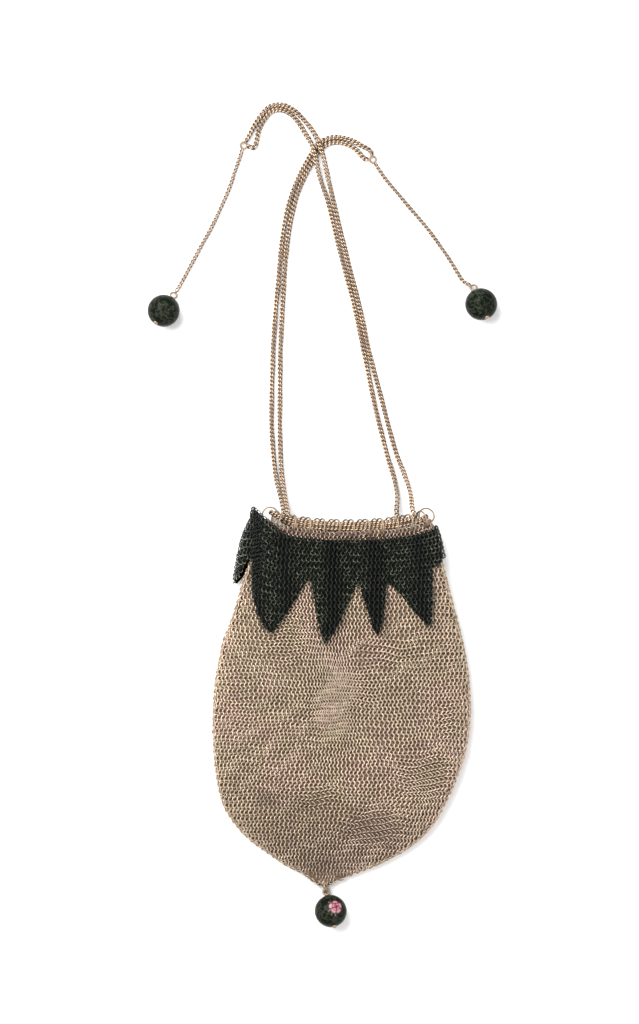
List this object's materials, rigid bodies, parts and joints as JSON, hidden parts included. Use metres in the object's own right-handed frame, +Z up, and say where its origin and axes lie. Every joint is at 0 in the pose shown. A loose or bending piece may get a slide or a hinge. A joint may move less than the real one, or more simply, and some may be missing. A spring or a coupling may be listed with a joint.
{
  "type": "metal mesh drawstring purse with glass balls",
  "caption": "Drawstring purse of fine metal ring mesh with a dark pointed collar, curb chain drawstrings that end in dark glass balls, and a glass ball at its tip, lying on its back.",
  "frame": {"origin": "on the flat underside of the bag, where it rests, about where the bag is widest", "axes": "+Z up from the surface that it lies on, +Y from the bag's tip to its mouth and on along the chains, +X across the bag to the right as seen from above"},
  "size_m": [0.139, 0.3292, 0.0175],
  "materials": {
    "ring_mesh": "plated brass wire, worn and dulled to a warm pinkish grey",
    "dark_ring_mesh": "near-black green enamelled wire, glossy, with small glints",
    "curb_chain": "plated brass wire, polished by wear, brown in the hollows",
    "ring_wire": "plated brass wire, softly worn",
    "dark_glass": "polished, near-black green, opaque"
  },
  "bodies": {
    "root": {"mesh_bag": "ring_mesh", "collar": "dark_ring_mesh", "rim_ring_01": "ring_wire", "rim_ring_02": "ring_wire", "rim_ring_03": "ring_wire", "rim_ring_04": "ring_wire", "rim_ring_05": "ring_wire", "rim_ring_06": "ring_wire", "rim_ring_07": "ring_wire", "rim_ring_08": "ring_wire", "rim_ring_09": "ring_wire", "rim_ring_10": "ring_wire", "rim_ring_11": "ring_wire", "rim_ring_12": "ring_wire", "rim_ring_13": "ring_wire", "rim_ring_14": "ring_wire", "rim_ring_15": "ring_wire", "rim_ring_16": "ring_wire", "rim_ring_17": "ring_wire", "rim_ring_18": "ring_wire", "rim_ring_19": "ring_wire", "rim_ring_20": "ring_wire", "rim_ring_21": "ring_wire", "rim_ring_22": "ring_wire", "rim_ring_23": "ring_wire", "rim_ring_24": "ring_wire", "drawstring_left": "curb_chain", "drawstring_right": "curb_chain", "end_ring_left": "ring_wire", "end_ring_right": "ring_wire", "drop_chain_left": "curb_chain", "drop_chain_right": "curb_chain", "ball_left": "dark_glass", "ball_right": "dark_glass", "ball_bottom": "dark_glass", "ball_pin_left": "ring_wire", "ball_pin_right": "ring_wire", "ball_pin_bottom": "ring_wire", "tip_link": "ring_wire"}
  },
  "joints": []
}
